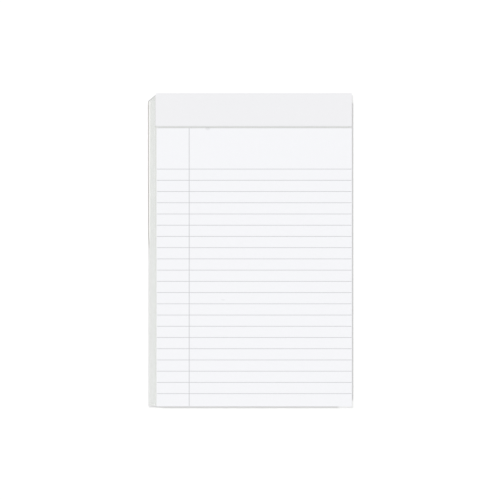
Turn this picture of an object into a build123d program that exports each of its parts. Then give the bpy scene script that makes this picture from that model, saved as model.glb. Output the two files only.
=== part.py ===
from build123d import *

import math
import os

# Legal pad lying on its back. X runs across the sheets, Y runs up to the bound head, Z is up.
# The origin is the middle of the whole pad, on the surface that it lies on.
# All sizes are millimetres.

# Sheets, a nominal 5 by 8 inches, trimmed a little full along the length
sheet_width = 127.0
sheet_length = 203.5
stack_thickness = 10.0
lift_count = 20
lift_stagger = 0.16
foot_corner_radius = 0.6
head_round = 0.2
knife_draw = 0.35

# Perforation, a pressed groove with a row of slits at its bottom
groove_width = 1.35
groove_floor = 0.8
groove_depth = 0.12
slit_length = 0.9
slit_width = 0.14
slit_pitch = 1.6

# Backing board, cut a little smaller than the sheets and laid slightly askew
board_thickness = 0.9
board_head_round = 0.4
board_inset = 0.22
board_left_shift = 0.15
board_skew_degrees = 0.2

# Binding strip, folded over the head a little askew and glued to the front and the back
strip_thickness = 0.2
strip_front_depth = 21.3
strip_back_depth = 24.0
strip_left_overhang = 0.72
strip_right_setback = 0.2
strip_lean = 0.45
glue_film = 0.03

# Staples of flat wire, driven from the front and clinched on the back
staple_count = 2
staple_spacing = 76.0
staple_from_head = 10.0
staple_crown = 12.0
staple_clinch = 2.6
wire_thickness = 0.5
wire_width = 0.7
wire_bend_radius = 0.5
wire_clearance = 0.05

# Printed ruling on the top sheet
first_rule_drop = 49.2
rule_pitch = 7.3
rule_width = 0.38
rule_foot_blank = 5.0
rule_end_gap = 0.25
margin_line_left = 21.2
margin_line_width = 0.44
ink_thickness = 0.02

# Places that follow from the sizes
strip_build_up = glue_film + strip_thickness
strip_right_overhang = max(0, strip_lean - strip_right_setback)
left_edge = -(sheet_width + strip_right_overhang - strip_left_overhang) / 2
right_edge = left_edge + sheet_width
head_y = (sheet_length - strip_build_up) / 2
foot_y = head_y - sheet_length
board_bottom = strip_build_up
board_top = board_bottom + board_thickness
sheet_top = board_top + stack_thickness
strip_front_end = head_y - strip_front_depth
strip_back_end = head_y - strip_back_depth
groove_y = strip_front_end - groove_width / 2
crown_z = sheet_top - wire_thickness / 2
clinch_z = board_bottom + wire_thickness / 2
middle_x = (left_edge + right_edge) / 2
cut_margin = 1.0


def block(x_range, y_range, z_range):
    """A box given by its two limits along each axis."""
    size = [high - low for low, high in (x_range, y_range, z_range)]
    low_corner = (x_range[0], y_range[0], z_range[0])
    return Pos(*low_corner) * Box(*size, align=(Align.MIN, Align.MIN, Align.MIN))


def prism_along_x(outline, x_range):
    """An outline in the YZ plane, drawn out between two places along X."""
    face = Plane.YZ.offset(x_range[0]) * outline
    return extrude(face, amount=x_range[1] - x_range[0], dir=(1, 0, 0))


def cut_outline(left_inset, right_inset, foot_inset, head_inset, draw=0):
    """The plan of some sheets or the board: sharp at the head, with soft corners at the foot.

    The draw is how much farther in the left edge stands at the head than at the foot.
    """
    left = left_edge + left_inset
    right = right_edge - right_inset
    foot = foot_y + foot_inset
    head = head_y - head_inset
    edges = Polyline((left, foot), (right, foot), (right, head), (left + draw, head), close=True)
    plan = make_face(edges)
    foot_corners = plan.vertices().sort_by(Axis.Y)[:2]
    return fillet(foot_corners, foot_corner_radius)


def stagger(lift, beat):
    """How far back one lift of sheets stands. The outermost lifts are full size."""
    if lift in (0, lift_count - 1):
        return 0.0
    return lift_stagger * (0.5 - 0.5 * math.cos(beat * lift))


def head_side(z_range, top_radius, bottom_radius):
    """A side view of the pad between two heights, rounded where the strip bends over it."""
    bottom, top = z_range
    length = head_y - foot_y + cut_margin
    side = Pos(head_y, bottom) * Rectangle(length, top - bottom, align=(Align.MAX, Align.MIN))
    head_corners = side.vertices().sort_by(Axis.X)[-2:].sort_by(Axis.Y)
    if top_radius:
        side = fillet(head_corners[-1], top_radius)
    if bottom_radius:
        side = fillet(head_corners[0], bottom_radius)
    return side


def staple_centres():
    """The middle of each staple across the sheets."""
    first = middle_x - staple_spacing * (staple_count - 1) / 2
    return [first + staple_spacing * index for index in range(staple_count)]


def bent_wire(thickness, width, centre_x):
    """One staple's flat wire of the given section, seen from the foot as a closed-up U."""
    half = staple_crown / 2
    path = FilletPolyline(
        (-half + staple_clinch, clinch_z),
        (-half, clinch_z),
        (-half, crown_z),
        (half, crown_z),
        (half, clinch_z),
        (half - staple_clinch, clinch_z),
        radius=wire_bend_radius,
    )
    outline = trace(path, thickness)
    y_front = head_y - staple_from_head - width / 2
    face = Plane.XZ.offset(-y_front) * Pos(centre_x, 0) * outline
    return extrude(face, amount=width, dir=(0, 1, 0))


def staple_seat(centre_x):
    """The space that one staple presses into the sheets and the board."""
    thickness = wire_thickness + 2 * wire_clearance
    width = wire_width + 2 * wire_clearance
    y_middle = head_y - staple_from_head
    y_range = (y_middle - width / 2, y_middle + width / 2)
    reach = staple_crown / 2 + thickness / 2
    x_range = (centre_x - reach, centre_x + reach)
    seat = bent_wire(thickness, width, centre_x)
    seat += block(x_range, y_range, (crown_z, sheet_top + cut_margin))
    for side in (-1, 1):
        ends = sorted((side * reach, side * (staple_crown / 2 - staple_clinch - wire_clearance)))
        clinch_x = (centre_x + ends[0], centre_x + ends[1])
        seat += block(clinch_x, y_range, (board_bottom - cut_margin, clinch_z + thickness / 2))
    return seat


def perforation():
    """The groove across the top sheet and the slits that run down through every sheet."""
    floor_z = sheet_top - groove_depth
    groove_outline = Polyline(
        (groove_y - groove_floor / 2, floor_z),
        (groove_y + groove_floor / 2, floor_z),
        (groove_y + groove_width / 2, sheet_top),
        (groove_y + groove_width / 2, sheet_top + cut_margin),
        (groove_y - groove_width / 2, sheet_top + cut_margin),
        (groove_y - groove_width / 2, sheet_top),
        close=True,
    )
    groove = prism_along_x(make_face(groove_outline), (left_edge - cut_margin, right_edge + cut_margin))
    slit_count = int((sheet_width - slit_pitch) / slit_pitch)
    first_slit = middle_x - slit_pitch * (slit_count - 1) / 2
    y_range = (groove_y - slit_width / 2, groove_y + slit_width / 2)
    z_range = (board_top - cut_margin, sheet_top + cut_margin)
    slits = []
    for index in range(slit_count):
        x = first_slit + slit_pitch * index
        slits.append(block((x - slit_length / 2, x + slit_length / 2), y_range, z_range))
    return [groove] + slits


def make_page_block():
    """All the sheets as one solid, in lifts that stand a hair in and out at the free edges.

    The knife that trimmed the left edge came down a little aslant, so the lowest lifts are
    narrower at the head by the full draw.
    """
    lift_thickness = stack_thickness / lift_count
    lifts = []
    for lift in range(lift_count):
        draw = knife_draw * (lift_count - 1 - lift) / (lift_count - 1)
        plan = cut_outline(stagger(lift, 2.4), stagger(lift, 3.7), stagger(lift, 5.1), 0, draw)
        lifts.append(Pos(0, 0, board_top + lift * lift_thickness) * extrude(plan, lift_thickness))
    stack = lifts[0] + lifts[1:]
    side = head_side((board_top, sheet_top), head_round, 0)
    stack &= prism_along_x(side, (left_edge - cut_margin, right_edge + cut_margin))
    stack -= perforation()
    return stack - [staple_seat(x) for x in staple_centres()]


def make_backing_board():
    """The stiff card under the sheets. It stands proud at the left of the head and back at the foot."""
    plan = cut_outline(board_inset, board_inset, board_inset, board_inset)
    middle = Pos(middle_x, (head_y + foot_y) / 2)
    askew = Pos(-board_left_shift) * middle * Rot(0, 0, board_skew_degrees) * middle.inverse() * plan
    board = Pos(0, 0, board_bottom) * extrude(askew, board_thickness)
    side = head_side((board_bottom, board_top), 0, board_head_round)
    board &= prism_along_x(side, (left_edge - cut_margin, right_edge + cut_margin))
    return board - [staple_seat(x) for x in staple_centres()]


def make_binding_strip():
    """One strip folded over the head. Its back flap stands a little to the right of the front one."""
    half = strip_thickness / 2
    front_z = sheet_top + glue_film + half
    back_z = board_bottom - glue_film - half
    head = head_y + glue_film + half
    fold_radii = [head_round + glue_film + half, board_head_round + glue_film + half]
    path = FilletPolyline(
        (strip_front_end, front_z),
        (head, front_z),
        (head, back_z),
        (strip_back_end, back_z),
        radius=fold_radii,
    )
    strip_left = left_edge - strip_left_overhang
    strip_right = right_edge - strip_right_setback
    strip = prism_along_x(trace(path, strip_thickness), (strip_left, strip_right + strip_lean))
    strip_top = sheet_top + strip_build_up
    ends = Polyline(
        (strip_left, strip_top),
        (strip_right, strip_top),
        (strip_right + strip_lean, 0),
        (strip_left + strip_lean, 0),
        close=True,
    )
    deep_enough = sheet_length + 2 * cut_margin
    middle = Plane.XZ.offset(deep_enough / 2)
    return strip & extrude(middle * make_face(ends), amount=deep_enough, dir=(0, 1, 0))


def make_staples():
    """The staples, each one piece of bent flat wire."""
    return Compound([bent_wire(wire_thickness, wire_width, x) for x in staple_centres()])


def make_ruling():
    """The printed rules and the one line down the left, as one thin layer of ink."""
    ink_z = (sheet_top, sheet_top + ink_thickness)
    printed_length = sheet_length - first_rule_drop - rule_foot_blank
    rule_count = int(printed_length / rule_pitch) + 1
    line_x = left_edge + margin_line_left
    half_line = margin_line_width / 2
    line_head = groove_y - groove_width / 2
    line = block((line_x - half_line, line_x + half_line), (foot_y + rule_end_gap, line_head), ink_z)
    rules = []
    for index in range(rule_count):
        y = head_y - first_rule_drop - rule_pitch * index
        x_range = (left_edge + rule_end_gap, right_edge - rule_end_gap)
        rules.append(block(x_range, (y - rule_width / 2, y + rule_width / 2), ink_z))
    return line + rules


os.makedirs("parts", exist_ok=True)
export_step(make_page_block(), "parts/page_block.step")
export_step(make_backing_board(), "parts/backing_board.step")
export_step(make_binding_strip(), "parts/binding_strip.step")
export_step(make_staples(), "parts/staples.step")
export_step(make_ruling(), "parts/printed_ruling.step")
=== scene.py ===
"""A ruled writing pad lying on its back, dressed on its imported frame. All lengths are metres."""

import math
import random

import bmesh
import bpy
from mathutils import Matrix, Vector, noise


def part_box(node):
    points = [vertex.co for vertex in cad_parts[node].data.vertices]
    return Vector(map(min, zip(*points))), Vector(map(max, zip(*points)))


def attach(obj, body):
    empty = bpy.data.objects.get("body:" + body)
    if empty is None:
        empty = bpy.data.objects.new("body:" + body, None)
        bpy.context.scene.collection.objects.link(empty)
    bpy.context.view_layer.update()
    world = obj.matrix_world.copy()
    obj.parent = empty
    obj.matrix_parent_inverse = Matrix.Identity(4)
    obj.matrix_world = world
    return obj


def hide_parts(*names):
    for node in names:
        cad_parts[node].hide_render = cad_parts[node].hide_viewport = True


bl_info = {
    "name": "Legal Pad",
    "version": (1, 0, 0),
    "blender": (4, 5, 0),
    "location": "3D View > Sidebar > Legal Pad",
    "description": "Builds a ruled writing pad with its sheets, board, strip, staples and ruling",
    "category": "Add Mesh",
}

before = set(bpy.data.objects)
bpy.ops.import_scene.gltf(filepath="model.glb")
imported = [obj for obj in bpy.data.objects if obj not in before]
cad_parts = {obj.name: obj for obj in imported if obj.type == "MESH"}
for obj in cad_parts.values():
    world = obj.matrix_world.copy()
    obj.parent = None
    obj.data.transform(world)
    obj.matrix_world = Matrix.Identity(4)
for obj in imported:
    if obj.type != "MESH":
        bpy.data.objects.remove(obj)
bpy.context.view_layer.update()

block_low, block_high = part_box("page_block")
board_low, board_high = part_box("backing_board")
strip_low, strip_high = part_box("binding_strip")
ink_low, ink_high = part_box("printed_ruling")

MM = 0.001

# Points that are nearer to each other than this are one point
HAIR = 1e-7

# Where a colour Mix node has its factor, its two colours and its result
MIX_FACTOR = 0
MIX_FIRST = 6
MIX_SECOND = 7
MIX_RESULT = 2


def length_property(label, text, default):
    """A size, shown in the scene's own unit of length."""
    return bpy.props.FloatProperty(
        name=label, description=text, default=default, unit="LENGTH", precision=5
    )


def angle_property(label, text, degrees):
    """An angle, given here in degrees and kept in radians."""
    return bpy.props.FloatProperty(
        name=label, description=text, default=math.radians(degrees), unit="ROTATION", subtype="ANGLE"
    )


def pixel_property(label, text, default):
    """A place or a size in the picture."""
    return bpy.props.FloatProperty(name=label, description=text, default=default, subtype="PIXEL")


def number_property(label, text, default):
    """A number without a unit."""
    return bpy.props.FloatProperty(name=label, description=text, default=default)


def colour_property(label, text, default):
    """A linear colour."""
    return bpy.props.FloatVectorProperty(
        name=label, description=text, default=default, subtype="COLOR", size=3, min=0.0, max=1.0
    )


def direction_property(label, text, default):
    """A direction of any length."""
    return bpy.props.FloatVectorProperty(
        name=label, description=text, default=default, subtype="DIRECTION", size=3
    )


class PadSizes(bpy.types.PropertyGroup):
    """Sizes of the pad that the frame doesn't give by itself."""

    sheet_count: bpy.props.IntProperty(
        name="Sheets", description="Sheets of paper in the stack", default=100, min=2
    )
    slit_sheets: bpy.props.IntProperty(
        name="Sheets with slits",
        description="Sheets at the top that show their perforation as open slits",
        default=5,
        min=1,
    )
    shuffle: bpy.props.IntProperty(
        name="Shuffle", description="Which chance arrangement of the sheets is used", default=9
    )
    edge_scatter: length_property(
        "Edge scatter", "Most that one sheet's edge stands back from its lift's edge", 0.09 * MM
    )
    lift_scatter: length_property(
        "Lift scatter", "Most that a lift of sheets stands back from the cut on the left", 0.1 * MM
    )
    loose_scatter: length_property(
        "Loose scatter", "Most that a lift of sheets stands back on the right and at the foot", 0.18 * MM
    )
    foot_corner: length_property("Foot corner", "Radius of the worn corners at the foot", 0.6 * MM)
    head_round: length_property("Head round", "Radius of the stack's front edge at the head", 0.2 * MM)
    worn_top: length_property(
        "Worn top", "Radius of the worn corner at the left of the head, at the top sheet", 1.4 * MM
    )
    worn_bottom: length_property(
        "Worn bottom", "Radius of the worn corner at the left of the head, at the lowest sheet", 0.08 * MM
    )
    worn_reach: length_property(
        "Worn reach", "How far from the head the strip's worn end is straight again", 1.6 * MM
    )
    knife_draw: length_property(
        "Knife draw", "How much narrower the lowest sheet is at the head, on the left", 0.35 * MM
    )
    straight_from: length_property(
        "Straight from", "Where the left edge is straight again, down from the head", 102.0 * MM
    )
    drawn_to: length_property(
        "Drawn to", "How far down from the head the left edge is fully drawn in", 87.0 * MM
    )
    board_bow: length_property(
        "Board bow", "How far the board's left edge bows out just above its middle", 0.14 * MM
    )
    board_tuck: length_property(
        "Board tuck", "How far in the board's left edge stands just below its middle", 0.31 * MM
    )
    sheet_wave: length_property("Sheet wave", "Height of the top sheet's gentle waves", 0.045 * MM)
    flap_depth: length_property("Flap depth", "Depth of the strip's front flap", 21.3 * MM)
    strip_thickness: length_property("Strip thickness", "Thickness of the binding strip", 0.2 * MM)
    strip_lean: length_property(
        "Strip lean", "How far the strip's back flap stands right of the front one", 0.45 * MM
    )
    board_head_round: length_property(
        "Board head round", "Radius of the board's lower edge at the head", 0.4 * MM
    )
    glue_film: length_property("Glue film", "Room for glue under the binding strip", 0.03 * MM)
    groove_width: length_property("Groove width", "Width of the pressed groove", 1.35 * MM)
    groove_floor: length_property("Groove floor", "Width of the groove's flat bottom", 0.8 * MM)
    groove_depth: length_property("Groove depth", "Depth of the pressed groove", 0.12 * MM)
    slit_length: length_property("Slit length", "Length of one slit", 0.9 * MM)
    slit_width: length_property("Slit width", "Width of one slit", 0.14 * MM)
    slit_pitch: length_property("Slit pitch", "From one slit to the next", 1.6 * MM)
    ink_step: length_property("Ink step", "Length of one piece of a printed line", 4.0 * MM)
    scuff_left: length_property("Scuff left", "Middle of the scuff, from the sheet's left", 33.3 * MM)
    scuff_drop: length_property("Scuff drop", "Middle of the scuff, down from the head", 22.9 * MM)
    scuff_width: length_property("Scuff width", "Width of the scuff at the perforation", 4.0 * MM)
    scuff_height: length_property("Scuff height", "Height of the scuff", 2.6 * MM)
    speck_left: length_property("Speck left", "Middle of the speck, from the sheet's left", 43.2 * MM)
    speck_drop: length_property("Speck drop", "Middle of the speck, down from the head", 134.2 * MM)
    speck_width: length_property("Speck width", "Width of the speck in the paper", 3.6 * MM)
    speck_height: length_property("Speck height", "Height of the speck", 1.1 * MM)
    board_skew: angle_property("Board skew", "How far the board is turned under the sheets", 0.2)


class PadColours(bpy.types.PropertyGroup):
    """Colours of the paper, the card, the wire and the ink."""

    sheet: colour_property("Sheet", "Face of a sheet", (0.920, 0.924, 0.947))
    # Painted shade: the cut edges are the face's own paper, given a darker colour that stands in for the
    # shade on the stack's sides
    shaded_sheet_edge: colour_property("Sheet edge", "Cut edges of the sheets", (0.771, 0.788, 0.748))
    # Painted shade: the groove's grey stands in for the shade of the crease under the strip's edge
    groove: colour_property("Groove", "Pressed paper in the groove", (0.738, 0.746, 0.738))
    strip: colour_property("Strip", "Binding strip", (0.872, 0.872, 0.889))
    # Partly the strip paper's whiter core and partly a painted highlight along the strip's cut ends
    strip_core_and_highlight: colour_property("Strip core", "Cut ends of the binding strip", (0.925, 0.925, 0.920))
    board: colour_property("Board", "Grey card of the board", (0.405, 0.395, 0.372))
    board_liner: colour_property("Board liner", "White lining on the board's front", (0.90, 0.90, 0.88))
    board_fleck: colour_property("Board fleck", "Dark fibres in the card", (0.27, 0.25, 0.22))
    ink: colour_property("Ink", "Printed ruling", (0.595, 0.60, 0.615))
    wire: colour_property("Wire", "Staple wire", (0.66, 0.67, 0.68))


class StudioSettings(bpy.types.PropertyGroup):
    """The light, the floor and where the sheets lie in the picture."""

    picture_size: pixel_property("Picture size", "Side of the square picture", 500.0)
    sheet_left: pixel_property("Sheet left", "Left edge of the top sheet", 156.52)
    sheet_right: pixel_property("Sheet right", "Right edge of the top sheet", 351.86)
    sheet_foot: pixel_property("Sheet foot", "Foot of the top sheet", 406.42)
    lens_left: pixel_property(
        "Lens left", "Where a plumb line from the lens meets the sheets' level, across the picture", -165.7
    )
    lens_down: pixel_property(
        "Lens down", "Where a plumb line from the lens meets the sheets' level, down the picture", 404.0
    )
    back_scale: number_property("Back scale", "Size of the pad's back against its front", 0.975)
    sky_strength: number_property("Sky", "Even light from all round", 0.48)
    low_share: number_property("Low lamp", "Light of the low lamp on a level sheet", 0.21)
    high_share: number_property("High lamp", "Light of the high lamp on a level sheet", 0.19)
    head_share: number_property("Head lamp", "Light of the head lamp on a level sheet", 0.12)
    low_towards: direction_property(
        "Towards the low lamp", "Leans to the left and to the foot", (-0.88, -0.345, 1.0)
    )
    high_towards: direction_property(
        "Towards the high lamp", "Leans to the left and to the head", (-0.88, 0.118, 1.0)
    )
    head_towards: direction_property(
        "Towards the head lamp", "Leans to the head only", (0.0, 0.118, 1.0)
    )
    lamp_softness: angle_property("Lamp softness", "How wide each lamp looks from the pad", 1.5)
    floor_colour: number_property("Floor", "Lightness of the floor as it lights the pad", 0.78)
    floor_seen: number_property("Floor seen", "Lightness of the floor as the camera sees it", 1.05)


class Flow:
    """A shader socket that can be written in sums."""

    def __init__(self, finish, socket):
        self.finish = finish
        self.socket = socket

    def maths(self, operation, *others):
        """A Math node's result on this socket and the others."""
        sockets = dict(enumerate([self, *others]))
        return self.finish.node("Math", {"operation": operation}, sockets)

    def __add__(self, other):
        return self.maths("ADD", other)

    def __sub__(self, other):
        return self.maths("SUBTRACT", other)

    def __mul__(self, other):
        return self.maths("MULTIPLY", other)

    def __rsub__(self, other):
        return self.finish.node("Math", {"operation": "SUBTRACT"}, {0: other, 1: self})

    __radd__ = __add__
    __rmul__ = __mul__


class Finish:
    """The nodes of one material or of the sky, which are all made by one method."""

    def __init__(self, owner):
        self.owner = owner
        owner.use_nodes = True
        self.nodes = owner.node_tree.nodes
        self.links = owner.node_tree.links
        self.nodes.clear()

    def node(self, kind, settings=None, sockets=None, output=0):
        """Adds a node, applies its settings, feeds its sockets and returns one output, if it has any."""
        made = self.nodes.new("ShaderNode" + kind)
        for key, setting in (settings or {}).items():
            setattr(made, key, setting)
        for key, value in (sockets or {}).items():
            socket = made.inputs[key]
            if isinstance(value, Flow):
                self.links.new(value.socket, socket)
            elif socket.type == "RGBA":
                socket.default_value = (*value, 1.0)
            else:
                socket.default_value = value
        return Flow(self, made.outputs[output]) if made.outputs else None

    def axis(self, name):
        """One coordinate of a place on the surface."""
        place = self.node("TexCoord", output="Object")
        return self.node("SeparateXYZ", {}, {"Vector": place}, output=name)

    def facing(self, name):
        """How far the surface faces along one axis, from -1 to 1."""
        direction = self.node("NewGeometry", output="Normal")
        return self.node("SeparateXYZ", {}, {"Vector": direction}, output=name)

    def grain(self, fineness, detail, rough, stretch=(1.0, 1.0, 1.0)):
        """Noise of about 0.5 on average. A small stretch draws it out along that axis."""
        place = self.node("TexCoord", output="Object")
        stretched = self.node("Mapping", {}, {"Vector": place, "Scale": stretch})
        sockets = {"Vector": stretched, "Scale": fineness, "Detail": detail, "Roughness": rough}
        return self.node("TexNoise", {}, sockets)

    def between(self, value, low, high):
        """0 below low and 1 above high, with a smooth passage."""
        sockets = {"Value": value, "From Min": low, "From Max": high}
        return self.node("MapRange", {"interpolation_type": "SMOOTHSTEP"}, sockets)

    def mix(self, factor, first, second):
        """A colour between two colours."""
        sockets = {MIX_FACTOR: factor, MIX_FIRST: first, MIX_SECOND: second}
        return self.node("Mix", {"data_type": "RGBA"}, sockets, output=MIX_RESULT)

    def shade(self, colour, factor):
        """A colour made lighter or darker by a number that varies."""
        grey = self.node("CombineColor", {}, {"Red": factor, "Green": factor, "Blue": factor})
        settings = {"data_type": "RGBA", "blend_type": "MULTIPLY"}
        sockets = {MIX_FACTOR: 1.0, MIX_FIRST: colour, MIX_SECOND: grey}
        return self.node("Mix", settings, sockets, output=MIX_RESULT)

    def background_seen(self):
        """1 for the camera's own rays and for what shiny and clear things show, and 0 for light."""
        seen = self.node("LightPath", output="Is Camera Ray")
        for kind in ("Is Glossy Ray", "Is Transmission Ray"):
            seen = seen.maths("MAXIMUM", self.node("LightPath", output=kind))
        return seen

    def bump(self, height, distance):
        """The normals of a relief that is as deep as the distance where its height is 1."""
        return self.node("Bump", {}, {"Height": height, "Distance": distance})

    def surface(self, colour, roughness, normal, uniform):
        """Ends the material in one Principled surface, with the values that are the same all over."""
        sockets = {"Base Color": colour, "Roughness": roughness, "Normal": normal, **uniform}
        shader = self.node("BsdfPrincipled", {}, sockets)
        self.node("OutputMaterial", {}, {"Surface": shader})
        return self.owner


def new_finish(name):
    """The nodes of a new material."""
    return Finish(bpy.data.materials.new(name))


def groove_middle(sizes):
    """How far up the sheets the middle of the pressed groove runs."""
    return block_high.y - sizes.flap_depth - sizes.groove_width / 2


def sheet_fibre(finish):
    """The fibres of the sheets, which show through the ink too."""
    return finish.grain(fineness=2600.0, detail=4.0, rough=0.65, stretch=(1.0, 0.45, 1.0))


def spot(paper, left, drop, width, height):
    """1 in the middle of an oval on the top sheet and 0 from its rim on."""
    across = (paper.axis("X") - (block_low.x + left)) * (2 / width)
    along = (paper.axis("Y") - (block_high.y - drop)) * (2 / height)
    return 1.0 - paper.between(across * across + along * along, 0.1, 1.0)


def marks(paper, sizes):
    """How much darker the scuff at the perforation and the speck in the lower half are."""
    scuff_darkness = 0.1
    speck_darkness = 0.08
    scuff = spot(paper, sizes.scuff_left, sizes.scuff_drop, sizes.scuff_width, sizes.scuff_height)
    speck = spot(paper, sizes.speck_left, sizes.speck_drop, sizes.speck_width, sizes.speck_height)
    return scuff * scuff_darkness + speck * speck_darkness


def pressed(paper, sizes):
    """1 along the pressed groove and 0 beside it, which is where the groove's painted shade goes."""
    across = (paper.axis("Y") - groove_middle(sizes)).maths("ABSOLUTE")
    return 1.0 - paper.between(across, sizes.groove_width * 0.45, sizes.groove_width * 0.62)


def edge_tone(paper, sizes):
    """How light the cut edges are.

    Every sheet has its own tone, which differs more on the right and at the foot. The upper sheets' edges
    are a little darker, and on the left under the flap they carry painted shade, as if from the strip's
    overhang.
    """
    darkest = 0.855
    sheet_share = 0.16
    loose_share = 0.26
    streak_share = 0.12
    upper_grey = 0.02
    overhang_shade = 0.13
    left_reach = 3.0 * MM
    flap_fade = 0.3 * MM
    grey_starts = block_high.z - 3.4 * MM
    grey_is_full = block_high.z - 2.0 * MM
    flap_end = block_high.y - sizes.flap_depth
    tone = paper.node("Attribute", {"attribute_name": "sheet_tone"}, output="Fac")
    streak = paper.grain(fineness=90.0, detail=3.0, rough=0.6, stretch=(1.0, 1.0, 90.0))
    under_flap = paper.between(paper.axis("Y"), flap_end - flap_fade, flap_end + flap_fade)
    upper = paper.between(paper.axis("Z"), grey_starts, grey_is_full)
    on_left = 1.0 - paper.between(paper.axis("X"), block_low.x, block_low.x + left_reach)
    # Painted shade under the strip's overhang on the left, and a slight darkening of the upper sheets'
    # edges all round
    grey = overhang_shade * under_flap * on_left + upper_grey
    loose = (tone - 0.5) * loose_share * (1.0 - on_left)
    return darkest + tone * sheet_share + loose + (streak - 0.5) * streak_share - grey * upper


def sheet_paper(sizes, colours):
    """Smooth white writing paper, with greener cut edges that also carry painted shade, and painted shade
    in the pressed groove.
    """
    paper = new_finish("sheet_paper")
    cloud = paper.grain(fineness=180.0, detail=3.0, rough=0.55)
    fibre = sheet_fibre(paper)
    fleece = paper.grain(fineness=7000.0, detail=2.0, rough=0.5)
    # The cut edges take the darker edge colour, which is painted shade on the stack's sides
    edge = paper.shade(colours.shaded_sheet_edge, edge_tone(paper, sizes))
    front = paper.shade(colours.sheet, 0.985 + cloud * 0.014 + fibre * 0.016)
    level = paper.between(paper.facing("Z").maths("ABSOLUTE"), 0.35, 0.75)
    top = paper.between(paper.axis("Z"), block_high.z - 0.3 * MM, block_high.z - 0.2 * MM)
    plain = paper.mix(level, edge, front)
    # Painted shade along the pressed groove under the strip's edge
    groove_shaded = paper.mix(pressed(paper, sizes) * level * top, plain, colours.groove)
    colour = paper.shade(groove_shaded, 1.0 - marks(paper, sizes) * level * top)
    relief = paper.bump(fibre * 0.7 + fleece * 0.3, 0.006 * MM)
    return paper.surface(colour, 0.86 - fibre * 0.1, relief, {"Specular IOR Level": 0.35})


def strip_paper(colours):
    """Denser coated paper with a fine laid grain across the strip."""
    paper = new_finish("strip_paper")
    cloud = paper.grain(fineness=140.0, detail=3.0, rough=0.5)
    laid = paper.grain(fineness=2400.0, detail=3.0, rough=0.6, stretch=(0.25, 1.0, 1.0))
    fleece = paper.grain(fineness=5200.0, detail=2.0, rough=0.5)
    # The cut ends are lighter: the paper's whiter core, and partly a painted highlight where the lamps
    # catch the ends
    cut_end = paper.between(paper.facing("X").maths("ABSOLUTE"), 0.5, 0.8)
    plain = paper.mix(cut_end, colours.strip, colours.strip_core_and_highlight)
    colour = paper.shade(plain, 0.988 + cloud * 0.014 + laid * 0.01)
    relief = paper.bump(laid * 0.6 + fleece * 0.4, 0.008 * MM)
    return paper.surface(colour, 0.7 - laid * 0.12, relief, {"Specular IOR Level": 0.4})


def board_card(colours):
    """Grey recycled card with flecks and a white lining, and with layers at its cut edges."""
    card = new_finish("board_card")
    cloud = card.grain(fineness=220.0, detail=4.0, rough=0.6)
    pulp = card.grain(fineness=1500.0, detail=3.0, rough=0.7, stretch=(1.0, 0.35, 1.0))
    layer = card.grain(fineness=60.0, detail=2.0, rough=0.5, stretch=(1.0, 1.0, 110.0)) - 0.5
    tooth = card.grain(fineness=3300.0, detail=3.0, rough=0.6)
    fleck = card.between(pulp, 0.6, 0.72)
    upward = card.facing("Z")
    side = 1.0 - card.between(upward.maths("ABSOLUTE"), 0.3, 0.7)
    lined = card.between(upward, 0.8, 0.95)
    plain = card.shade(colours.board, 0.93 + cloud * 0.14 + side * layer * 0.3)
    flecked = card.mix(fleck * 0.4, plain, colours.board_fleck)
    colour = card.mix(lined, flecked, colours.board_liner)
    relief = card.bump(cloud * 0.4 + tooth * 0.6, 0.03 * MM)
    return card.surface(colour, 0.93, relief, {"Specular IOR Level": 0.25})


def rule_ink(colours):
    """Thin grey ink that lets the paper's fibres show."""
    ink = new_finish("rule_ink")
    fibre = sheet_fibre(ink)
    dry = ink.between(ink.grain(fineness=1100.0, detail=3.0, rough=0.6), 0.35, 0.7)
    colour = ink.shade(colours.ink, 0.95 + fibre * 0.06 + dry * 0.05)
    relief = ink.bump(fibre, 0.004 * MM)
    return ink.surface(colour, 0.8, relief, {"Specular IOR Level": 0.35})


def staple_wire(colours):
    """Drawn galvanised wire."""
    wire = new_finish("staple_wire")
    drawn = wire.grain(fineness=1500.0, detail=3.0, rough=0.6, stretch=(0.08, 1.0, 1.0))
    colour = wire.shade(colours.wire, 0.9 + drawn * 0.2)
    relief = wire.bump(drawn, 0.01 * MM)
    return wire.surface(colour, 0.28 + drawn * 0.16, relief, {"Metallic": 1.0})


def floor_cover(studio):
    """A plain pale floor that the camera sees as white."""
    cover = new_finish("floor_cover")
    lit = [studio.floor_colour] * 3
    looked_at = [studio.floor_seen] * 3
    colour = cover.mix(cover.background_seen(), lit, looked_at)
    shader = cover.node("BsdfDiffuse", {}, {"Color": colour})
    cover.node("OutputMaterial", {}, {"Surface": shader})
    return cover.owner


def new_object(name, maker, material):
    """Links a finished mesh to the scene."""
    mesh = bpy.data.meshes.new(name)
    maker.to_mesh(mesh)
    maker.free()
    mesh.materials.append(material)
    made = bpy.data.objects.new(name, mesh)
    bpy.context.scene.collection.objects.link(made)
    return made


def new_piece(name, maker, material, node):
    """Makes a piece that rides with the pad and stands for its CAD node."""
    piece = new_object(name, maker, material)
    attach(piece, "root")
    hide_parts(node)
    return piece


def smooth_shade(piece, sharp_degrees):
    """Shades gentle bends smooth and keeps sharp edges."""
    for polygon in piece.data.polygons:
        polygon.use_smooth = True
    piece.data.set_sharp_from_angle(angle=math.radians(sharp_degrees))


def sheet_lift(sizes, x, y):
    """How far the loose top sheet stands off the stack at a place."""
    waves_across = 14.0
    waves_along = 10.0
    steepness = 2.5
    groove_end = block_high.y - sizes.flap_depth - sizes.groove_width
    free = (groove_end - y) / (groove_end - block_low.y)
    if free <= 0.0:
        return 0.0
    # The added numbers choose which waves the noise gives
    wave = noise.noise(Vector((x * waves_across + 3.0, y * waves_along - 1.0, 0.5)))
    return sizes.sheet_wave * min(free * steepness, 1.0) * (0.5 + 0.5 * wave)


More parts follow.
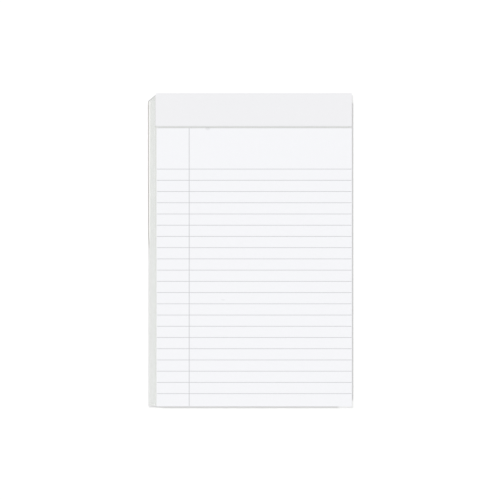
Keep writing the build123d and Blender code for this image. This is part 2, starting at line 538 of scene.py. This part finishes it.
def groove_dip(sizes, y):
    """How far the top sheet is pressed down, at a place up the sheet."""
    half_floor = sizes.groove_floor / 2
    half_groove = sizes.groove_width / 2
    across = abs(y - groove_middle(sizes))
    if across >= half_groove - HAIR:
        return 0.0
    return sizes.groove_depth * min(1.0, (half_groove - across) / (half_groove - half_floor))


def head_setback(radius, depth):
    """How far a sheet at some depth under the top stands back from the rounded head."""
    if depth >= radius:
        return 0.0
    return radius - math.sqrt(radius**2 - (radius - depth) ** 2)


def worn_radius(sizes, z):
    """Radius of the worn corner at the left of the head, at a height."""
    share = min(max((z - block_low.z) / (block_high.z - block_low.z), 0.0), 1.0)
    return sizes.worn_bottom + (sizes.worn_top - sizes.worn_bottom) * share


def worn_end(sizes, place):
    """How far the strip's left end is worn back, a little on the front and most just over the head."""
    across_reach = 3.0 * MM
    full_drop = 0.4 * MM
    front_share = 0.25
    added_over_head = 0.68
    near_end = max(0.0, 1.0 - (place.x - strip_low.x) / across_reach)
    near_head = max(0.0, 1.0 - (strip_high.y - place.y) / sizes.worn_reach)
    over_head = min((strip_high.z - place.z) / full_drop, 1.0)
    share = front_share + added_over_head * over_head
    return worn_radius(sizes, place.z) * near_end * near_head * share


def upper_share(sizes, y):
    """1 along the upper part of the left edge and 0 along the lower part, with a short passage."""
    up = (y - block_high.y + sizes.straight_from) / (sizes.straight_from - sizes.drawn_to)
    up = min(max(up, 0.0), 1.0)
    return up * up * (3.0 - 2.0 * up)


def board_stray(sizes, y):
    """How far the board's left edge strays from a straight cut, with a step where the sheets have one."""
    down = max(0.0, board_high.y - y)
    upper = -sizes.board_bow * down / sizes.drawn_to
    lower = sizes.board_tuck - sizes.board_skew * (down - sizes.straight_from)
    return lower + (upper - lower) * upper_share(sizes, y)


def shift_left_edge(maker, low_x, high_x, shift):
    """Moves the left edge sideways by a shift that depends on the place along it."""
    for v in maker.verts:
        to_left = (high_x - v.co.x) / (high_x - low_x)
        v.co.x += to_left * shift(v.co.y)


def round_corners(sizes, maker, low, high):
    """Rounds a flat sheet's two corners at the foot, and the worn one at the left of the head."""
    foot = sizes.foot_corner
    worn = worn_radius(sizes, low.z)
    corners = ((low.x, low.y, foot), (high.x, low.y, foot), (low.x, high.y, worn))
    for x, y, radius in corners:
        corner = min(maker.verts, key=lambda v: abs(v.co.x - x) + abs(v.co.y - y))
        bmesh.ops.bevel(
            maker,
            geom=[corner],
            offset=radius,
            segments=4,
            profile=0.5,
            affect="VERTICES",
            material=-1,
        )


def lined_grid(columns, rows, z):
    """A level grid with its lines at the given places."""
    maker = bmesh.new()
    across = len(columns) - 1
    along = len(rows) - 1
    bmesh.ops.create_grid(maker, x_segments=across, y_segments=along, size=0.5)
    for v in maker.verts:
        column = round((v.co.x + 0.5) * across)
        row = round((v.co.y + 0.5) * along)
        v.co = Vector((columns[column], rows[row], z))
    return maker


def thicken(maker, thickness):
    """Gives a level sheet its thickness, from its lower face up."""
    made = bmesh.ops.extrude_face_region(maker, geom=list(maker.faces), use_keep_orig=True)
    upper = [v for v in made["geom"] if isinstance(v, bmesh.types.BMVert)]
    bmesh.ops.translate(maker, verts=upper, vec=(0.0, 0.0, thickness))
    bmesh.ops.recalc_face_normals(maker, faces=maker.faces)


def plain_sheet(sizes, low, high, thickness):
    """A flat sheet with soft corners, and with cross lines where its left edge may step."""
    steps = 4
    run = sizes.drawn_to - sizes.straight_from
    passage = [sizes.straight_from + run * step / steps for step in range(steps + 1)]
    rows = [low.y] + [block_high.y - drop for drop in passage] + [high.y]
    maker = lined_grid([low.x, high.x], rows, low.z)
    round_corners(sizes, maker, low, high)
    thicken(maker, thickness)
    return maker


def slit_places(sizes):
    """Where the slits start and end across the sheet, which is where the CAD block has them."""
    rounding = 1e-6
    width = block_high.x - block_low.x
    count = int((width - sizes.slit_pitch) / sizes.slit_pitch + rounding)
    middle = (block_low.x + block_high.x) / 2
    first = middle - sizes.slit_pitch * (count - 1) / 2
    centres = [first + sizes.slit_pitch * index for index in range(count)]
    half = sizes.slit_length / 2
    return [(x - half, x + half) for x in centres]


def perforated_sheet(sizes, low, high, thickness, is_top):
    """A sheet with its row of open slits. The top one has the groove and gentle waves too."""
    slits = slit_places(sizes)
    middle = groove_middle(sizes)
    half_slit = sizes.slit_width / 2
    half_floor = sizes.groove_floor / 2
    half_groove = sizes.groove_width / 2
    free_end = middle - half_groove
    wave_rows = 24
    foot_rows = wave_rows if is_top else 1
    columns = [low.x] + [x for slit in slits for x in slit] + [high.x]
    rows = [low.y + (free_end - low.y) * step / foot_rows for step in range(foot_rows)]
    rows += [free_end, middle - half_floor, middle - half_slit]
    rows += [middle + half_slit, middle + half_floor, middle + half_groove, high.y]
    maker = lined_grid(columns, rows, low.z)
    open_slits = []
    for face in maker.faces:
        place = face.calc_center_median()
        in_row = abs(place.y - middle) < half_slit
        if in_row and any(start < place.x < end for start, end in slits):
            open_slits.append(face)
    bmesh.ops.delete(maker, geom=open_slits, context="FACES")
    round_corners(sizes, maker, low, high)
    thicken(maker, thickness)
    if is_top:
        for v in maker.verts:
            v.co.z += sheet_lift(sizes, v.co.x, v.co.y) - groove_dip(sizes, v.co.y)
    return maker


def sheet_places(sizes):
    """Gives each sheet's low and high corners, its thickness and its tone, from the lowest sheet up."""
    lift_least = 2
    lift_most = 6
    thinnest = 0.88
    thickest = 0.98
    top_thickness = 0.9
    lift_tone_share = 0.4
    own_tone_share = 0.6
    chance = random.Random(sizes.shuffle)
    pitch = (block_high.z - block_low.z) / sizes.sheet_count
    top_index = sizes.sheet_count - 1
    sheets_left_in_lift = 0
    for index in range(sizes.sheet_count):
        if sheets_left_in_lift == 0:
            sheets_left_in_lift = chance.randint(lift_least, lift_most)
            lift_tone = chance.random()
            lift_left = chance.uniform(0.0, sizes.lift_scatter)
            lift_right = chance.uniform(0.0, sizes.loose_scatter)
            lift_foot = chance.uniform(0.0, sizes.loose_scatter)
        sheets_left_in_lift -= 1
        left = lift_left + chance.uniform(0.0, sizes.edge_scatter)
        right = lift_right + chance.uniform(0.0, sizes.edge_scatter)
        foot = lift_foot + chance.uniform(0.0, sizes.edge_scatter)
        if index in (0, top_index):
            left = right = foot = 0.0
        z = block_low.z + pitch * index
        setback = head_setback(sizes.head_round, block_high.z - (z + pitch))
        low = Vector((block_low.x + left, block_low.y + foot, z))
        high = Vector((block_high.x - right, block_high.y - setback, z + pitch))
        thickness = pitch * chance.uniform(thinnest, thickest)
        if index == top_index:
            thickness = pitch * top_thickness
            low.z = block_high.z - thickness
        tone = lift_tone_share * lift_tone + own_tone_share * chance.random()
        yield low, high, thickness, tone


def add_tone(maker, tone):
    """Marks every vertex with its sheet's own tone."""
    layer = maker.verts.layers.float.new("sheet_tone")
    for v in maker.verts:
        v[layer] = tone


def gather(target, maker):
    """Moves one mesh in the making into another."""
    loose = bpy.data.meshes.new("loose")
    maker.to_mesh(loose)
    maker.free()
    target.from_mesh(loose)
    bpy.data.meshes.remove(loose)


def board_plan(sizes):
    """The board's true width and length, from the box that it fills when it lies askew."""
    cosine = math.cos(sizes.board_skew)
    sine = math.sin(sizes.board_skew)
    across = board_high.x - board_low.x
    along = board_high.y - board_low.y
    spread = cosine**2 - sine**2
    width = (across * cosine - along * sine) / spread
    length = (along * cosine - across * sine) / spread
    return width, length


def row_of_edges(count):
    """A mesh with nothing but one row of edges along X, from -0.5 to 0.5."""
    maker = bmesh.new()
    bmesh.ops.create_grid(maker, x_segments=count, y_segments=1, size=0.5)
    bmesh.ops.delete(maker, geom=[v for v in maker.verts if v.co.y > 0.0], context="VERTS")
    return maker


def runs_across(edge):
    """True if an edge runs straight across the strip."""
    start, end = (v.co for v in edge.verts)
    return abs(start.y - end.y) < HAIR and abs(start.z - end.z) < HAIR


def draw_out(strip, edges, vector):
    """Draws the strip's open end out along a straight line and returns its new end."""
    made = bmesh.ops.extrude_edge_only(strip, edges=edges)
    verts = [v for v in made["geom"] if isinstance(v, bmesh.types.BMVert)]
    bmesh.ops.translate(strip, verts=verts, vec=vector)
    return [e for e in made["geom"] if isinstance(e, bmesh.types.BMEdge) and runs_across(e)]


def fold_over(strip, edges, centre):
    """Bends the strip's open end down and back through a right angle and returns its new end."""
    made = bmesh.ops.spin(
        strip,
        geom=edges,
        cent=centre,
        axis=(1.0, 0.0, 0.0),
        dvec=(0.0, 0.0, 0.0),
        angle=-math.pi / 2,
        steps=6,
        use_merge=False,
        use_duplicate=False,
    )
    return [e for e in made["geom_last"] if isinstance(e, bmesh.types.BMEdge)]


def folded_strip(sizes):
    """The strip's outer face, from the end of its front flap over the head to that of its back flap."""
    columns = 128
    front_shares = (0.45, 0.47, 0.08)
    head_parts = 3
    front_radius = sizes.head_round + sizes.glue_film + sizes.strip_thickness
    back_radius = sizes.board_head_round + sizes.glue_film + sizes.strip_thickness
    front_end = block_high.y - sizes.flap_depth
    width = strip_high.x - strip_low.x - sizes.strip_lean
    front_run = strip_high.y - front_radius - front_end
    back_run = strip_high.y - back_radius - strip_low.y
    drop = strip_high.z - strip_low.z - front_radius - back_radius
    strip = row_of_edges(columns)
    for v in strip.verts:
        v.co = Vector((strip_low.x + (v.co.x + 0.5) * width, front_end, strip_high.z))
    edges = list(strip.edges)
    for share in front_shares:
        edges = draw_out(strip, edges, (0.0, front_run * share, 0.0))
    edges = fold_over(strip, edges, (0.0, strip_high.y - front_radius, strip_high.z - front_radius))
    for _ in range(head_parts):
        edges = draw_out(strip, edges, (0.0, 0.0, -drop / head_parts))
    edges = fold_over(strip, edges, (0.0, strip_high.y - back_radius, strip_low.z + back_radius))
    draw_out(strip, edges, (0.0, -back_run, 0.0))
    bmesh.ops.remove_doubles(strip, verts=strip.verts, dist=HAIR)
    bmesh.ops.recalc_face_normals(strip, faces=strip.faces)
    highest = max(strip.faces, key=lambda face: face.calc_center_median().z)
    if highest.normal.z < 0.0:
        bmesh.ops.reverse_faces(strip, faces=strip.faces)
    return strip


def picture_scale(studio):
    """How many pixels a metre on the top sheet takes up in the picture."""
    return (studio.sheet_right - studio.sheet_left) / (block_high.x - block_low.x)


def place_in_picture(studio, across, down):
    """The place on the top sheet's level that a point of the picture shows."""
    x = block_low.x + (across - studio.sheet_left) / picture_scale(studio)
    y = block_low.y - (down - studio.sheet_foot) / picture_scale(studio)
    return Vector((x, y, block_high.z))


class PAD_OT_sheets(bpy.types.Operator):
    """Stack the sheets, each a little in or out of line at its free edges"""

    bl_idname = "pad.sheets"
    bl_label = "Sheets"

    def execute(self, context):
        sizes = context.scene.pad_sizes
        paper = sheet_paper(sizes, context.scene.pad_colours)
        top_index = sizes.sheet_count - 1
        stack = bmesh.new()
        top = bmesh.new()
        for index, (low, high, thickness, tone) in enumerate(sheet_places(sizes)):
            if index > top_index - sizes.slit_sheets:
                maker = perforated_sheet(sizes, low, high, thickness, index == top_index)
            else:
                maker = plain_sheet(sizes, low, high, thickness)
                draw = sizes.knife_draw * (1.0 - index / top_index)
                shift_left_edge(maker, low.x, high.x, lambda y: draw * upper_share(sizes, y))
            add_tone(maker, tone)
            gather(top if index == top_index else stack, maker)
        new_piece("sheet_stack", stack, paper, "page_block")
        piece = new_piece("top_sheet", top, paper, "page_block")
        smooth_shade(piece, sharp_degrees=15)
        return {"FINISHED"}


class PAD_OT_board(bpy.types.Operator):
    """Cut the backing board, with its edges a little crushed"""

    bl_idname = "pad.board"
    bl_label = "Backing board"

    def execute(self, context):
        sizes = context.scene.pad_sizes
        card = board_card(context.scene.pad_colours)
        crushed = 0.09 * MM
        rim_angle = math.radians(60)
        width, length = board_plan(sizes)
        low = Vector((-width / 2, -length / 2, board_low.z))
        high = Vector((width / 2, length / 2, board_low.z))
        board = plain_sheet(sizes, low, high, board_high.z - board_low.z)
        middle = (board_low + board_high) / 2
        turn = Matrix.Translation((middle.x, middle.y, 0.0)) @ Matrix.Rotation(sizes.board_skew, 4, "Z")
        bmesh.ops.transform(board, matrix=turn, verts=board.verts)
        shift_left_edge(board, board_low.x, board_high.x, lambda y: board_stray(sizes, y))
        rim = [e for e in board.edges if e.calc_face_angle(0.0) > rim_angle]
        bmesh.ops.bevel(
            board,
            geom=rim,
            offset=crushed,
            segments=2,
            profile=0.5,
            affect="EDGES",
            material=-1,
        )
        piece = new_piece("backing_card", board, card, "backing_board")
        smooth_shade(piece, sharp_degrees=30)
        return {"FINISHED"}


class PAD_OT_strip(bpy.types.Operator):
    """Fold the binding strip over the head"""

    bl_idname = "pad.strip"
    bl_label = "Binding strip"

    def execute(self, context):
        sizes = context.scene.pad_sizes
        paper = strip_paper(context.scene.pad_colours)
        strip = folded_strip(sizes)
        for v in strip.verts:
            v.co.x += worn_end(sizes, v.co)
        bmesh.ops.solidify(strip, geom=list(strip.faces), thickness=sizes.strip_thickness)
        for v in strip.verts:
            v.co.x += sizes.strip_lean * (strip_high.z - v.co.z) / (strip_high.z - strip_low.z)
        piece = new_piece("binding_paper", strip, paper, "binding_strip")
        smooth_shade(piece, sharp_degrees=30)
        return {"FINISHED"}


class PAD_OT_staples(bpy.types.Operator):
    """Give the staples their drawn wire finish"""

    bl_idname = "pad.staples"
    bl_label = "Staples"

    def execute(self, context):
        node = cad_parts["staples"]
        node.data.materials.clear()
        node.data.materials.append(staple_wire(context.scene.pad_colours))
        return {"FINISHED"}


class PAD_OT_ruling(bpy.types.Operator):
    """Print the rules and the margin line"""

    bl_idname = "pad.ruling"
    bl_label = "Ruling"

    def execute(self, context):
        sizes = context.scene.pad_sizes
        grey = rule_ink(context.scene.pad_colours)
        ink = bmesh.new()
        ink.from_mesh(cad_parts["printed_ruling"].data)
        bmesh.ops.remove_doubles(ink, verts=ink.verts, dist=10 * HAIR)
        across = (Vector((1.0, 0.0, 0.0)), ink_low.x, ink_high.x)
        along = (Vector((0.0, 1.0, 0.0)), ink_low.y, ink_high.y)
        for direction, low, high in (across, along):
            count = int((high - low) / sizes.ink_step)
            for step in range(1, count):
                place = direction * (low + (high - low) * step / count)
                geom = ink.verts[:] + ink.edges[:] + ink.faces[:]
                bmesh.ops.bisect_plane(ink, geom=geom, dist=HAIR, plane_co=place, plane_no=direction)
        for v in ink.verts:
            v.co.z += sheet_lift(sizes, v.co.x, v.co.y)
        new_piece("ruling_ink", ink, grey, "printed_ruling")
        return {"FINISHED"}


class PAD_OT_stage(bpy.types.Operator):
    """Set the floor, the light and the view camera"""

    bl_idname = "pad.stage"
    bl_label = "Stage"

    def execute(self, context):
        scene = context.scene
        self.lay_floor(scene.pad_studio)
        self.light(scene, scene.pad_studio)
        self.aim_camera(scene, scene.pad_studio)
        scene.view_settings.view_transform = "Standard"
        return {"FINISHED"}

    def lay_floor(self, studio):
        """A wide pale floor that looks white and keeps the pad's shadow."""
        maker = bmesh.new()
        bmesh.ops.create_grid(maker, x_segments=1, y_segments=1, size=6.0)
        new_object("floor", maker, floor_cover(studio))

    def light(self, scene, studio):
        """Even light from all round, two lamps on the left and one above the head."""
        scene.world = bpy.data.worlds.new("sky")
        sky = Finish(scene.world)
        white = (1.0, 1.0, 1.0)
        soft = sky.node("Background", {}, {"Color": white, "Strength": studio.sky_strength})
        bright = sky.node("Background", {}, {"Color": white, "Strength": 1.0})
        either = sky.node("MixShader", {}, {"Fac": sky.background_seen(), 1: soft, 2: bright})
        sky.node("OutputWorld", {}, {"Surface": either})
        self.hang_lamp(scene, "low_lamp", studio.low_towards, studio.low_share)
        self.hang_lamp(scene, "high_lamp", studio.high_towards, studio.high_share)
        self.hang_lamp(scene, "head_lamp", studio.head_towards, studio.head_share)

    def hang_lamp(self, scene, name, towards, share):
        """A far lamp that gives a level sheet the given share of its light."""
        direction = Vector(towards).normalized()
        lamp = bpy.data.lights.new(name, "SUN")
        lamp.angle = scene.pad_studio.lamp_softness
        lamp.energy = share * math.pi / direction.z
        hung = bpy.data.objects.new(name, lamp)
        scene.collection.objects.link(hung)
        hung.rotation_mode = "QUATERNION"
        hung.rotation_quaternion = direction.to_track_quat("Z", "Y")

    def aim_camera(self, scene, studio):
        """A view camera: its film is parallel to the sheets and its lens stands off to the left."""
        thickness = block_high.z - board_low.z
        distance = thickness * studio.back_scale / (1.0 - studio.back_scale)
        lens = place_in_picture(studio, studio.lens_left, studio.lens_down)
        lens += Vector((0.0, 0.0, distance))
        slant = lens - place_in_picture(studio, studio.picture_size / 2, studio.picture_size / 2)
        back = slant.normalized()
        data = bpy.data.cameras.new("view_camera")
        data.sensor_width = 36.0
        data.lens = picture_scale(studio) * slant.length * data.sensor_width / studio.picture_size
        data.clip_start = 0.01
        data.clip_end = 50.0
        stand = bpy.data.objects.new("camera_stand", None)
        scene.collection.objects.link(stand)
        camera = bpy.data.objects.new("view_camera", data)
        scene.collection.objects.link(camera)
        camera.parent = stand
        # The film keeps the sheets' own X and Y, and only the line of sight slants
        camera.matrix_parent_inverse = Matrix(
            (
                (1.0, 0.0, back.x, lens.x),
                (0.0, 1.0, back.y, lens.y),
                (0.0, 0.0, back.z, lens.z),
                (0.0, 0.0, 0.0, 1.0),
            )
        )
        scene.camera = camera


class PAD_PT_panel(bpy.types.Panel):
    """Lists the pad's sizes, colours and steps"""

    bl_label = "Legal Pad"
    bl_idname = "PAD_PT_panel"
    bl_space_type = "VIEW_3D"
    bl_region_type = "UI"
    bl_category = "Legal Pad"

    def draw(self, context):
        for group in (context.scene.pad_sizes, context.scene.pad_colours, context.scene.pad_studio):
            box = self.layout.box()
            for name in group.bl_rna.properties.keys():
                if name not in ("rna_type", "name"):
                    box.prop(group, name)
        for operator in STEPS:
            self.layout.operator(operator.bl_idname)


STEPS = (PAD_OT_sheets, PAD_OT_board, PAD_OT_strip, PAD_OT_staples, PAD_OT_ruling, PAD_OT_stage)
CLASSES = (PadSizes, PadColours, StudioSettings, *STEPS, PAD_PT_panel)


def register():
    for cls in CLASSES:
        bpy.utils.register_class(cls)
    bpy.types.Scene.pad_sizes = bpy.props.PointerProperty(type=PadSizes)
    bpy.types.Scene.pad_colours = bpy.props.PointerProperty(type=PadColours)
    bpy.types.Scene.pad_studio = bpy.props.PointerProperty(type=StudioSettings)


def unregister():
    del bpy.types.Scene.pad_sizes
    del bpy.types.Scene.pad_colours
    del bpy.types.Scene.pad_studio
    for cls in reversed(CLASSES):
        bpy.utils.unregister_class(cls)


def main():
    register()
    for item in ("Cube", "Light", "Camera"):
        if item in bpy.data.objects:
            bpy.data.objects.remove(bpy.data.objects[item])
    bpy.ops.pad.sheets()
    bpy.ops.pad.board()
    bpy.ops.pad.strip()
    bpy.ops.pad.staples()
    bpy.ops.pad.ruling()
    bpy.ops.pad.stage()


if __name__ == "__main__":
    main()
